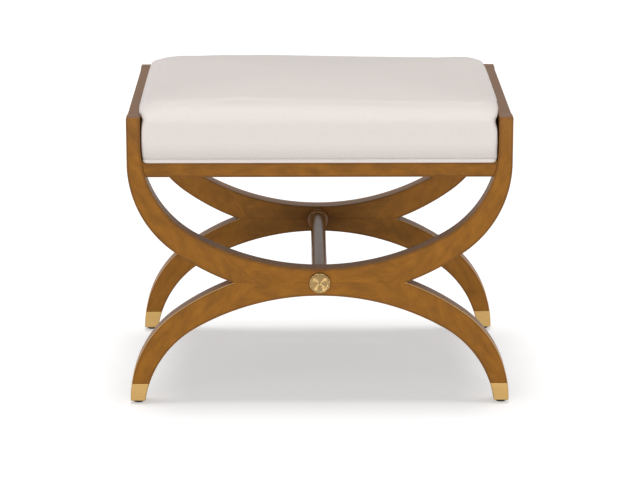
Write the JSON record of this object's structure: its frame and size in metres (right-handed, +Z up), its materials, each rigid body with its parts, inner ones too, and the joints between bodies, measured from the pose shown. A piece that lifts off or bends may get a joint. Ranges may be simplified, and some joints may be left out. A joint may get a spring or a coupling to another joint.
{
  "type": "ottoman",
  "caption": "Low upholstered seat held between the arms of two curule frames, each a cradle on an arch, joined by a round stretcher; brass ferrules and rosettes.",
  "frame": {"origin": "on the floor, under the middle of the seat", "axes": "+X to the right along the wide side, +Y from the front frame to the rear frame, +Z up"},
  "size_m": [0.61, 0.468, 0.504],
  "materials": {
    "frame_wood": "stained hardwood, satin lacquer over a dark glaze",
    "inner_wood": "bare hardwood",
    "plywood": "bare plywood",
    "brass": "satin brass, turned or brushed",
    "zinc_steel": "zinc plated",
    "glide_nylon": "dark brown nylon",
    "seat_foam": "polyurethane foam",
    "fibre_wrap": "polyester fibre",
    "cover_cloth": "fine plain weave, off-white",
    "dust_cloth": "black non-woven cloth"
  },
  "bodies": {
    "root": {"corner_blocks": "inner_wood", "dust_cover": "dust_cloth", "foot_glides": "glide_nylon", "front_arch_block": "frame_wood", "front_cradle_block": "frame_wood", "front_frame_tenons": "inner_wood", "front_left_arm": "frame_wood", "front_left_ferrule": "brass", "front_left_leg": "frame_wood", "front_right_arm": "frame_wood", "front_right_ferrule": "brass", "front_right_leg": "frame_wood", "front_seat_rail": "frame_wood", "hub_bolts": "zinc_steel", "hub_rosettes": "brass", "left_seat_rail": "frame_wood", "left_top_rail": "frame_wood", "rear_arch_block": "frame_wood", "rear_cradle_block": "frame_wood", "rear_frame_tenons": "inner_wood", "rear_left_arm": "frame_wood", "rear_left_ferrule": "brass", "rear_left_leg": "frame_wood", "rear_right_arm": "frame_wood", "rear_right_ferrule": "brass", "rear_right_leg": "frame_wood", "rear_seat_rail": "frame_wood", "right_seat_rail": "frame_wood", "right_top_rail": "frame_wood", "rod_collars": "frame_wood", "rod_inserts": "zinc_steel", "seat_cover": "cover_cloth", "seat_deck": "plywood", "seat_foam": "seat_foam", "seat_rail_tenons": "inner_wood", "seat_screws": "zinc_steel", "seat_welt": "cover_cloth", "seat_wrap": "fibre_wrap", "stretcher_rod": "frame_wood", "top_rail_tenons": "inner_wood"}
  },
  "joints": []
}
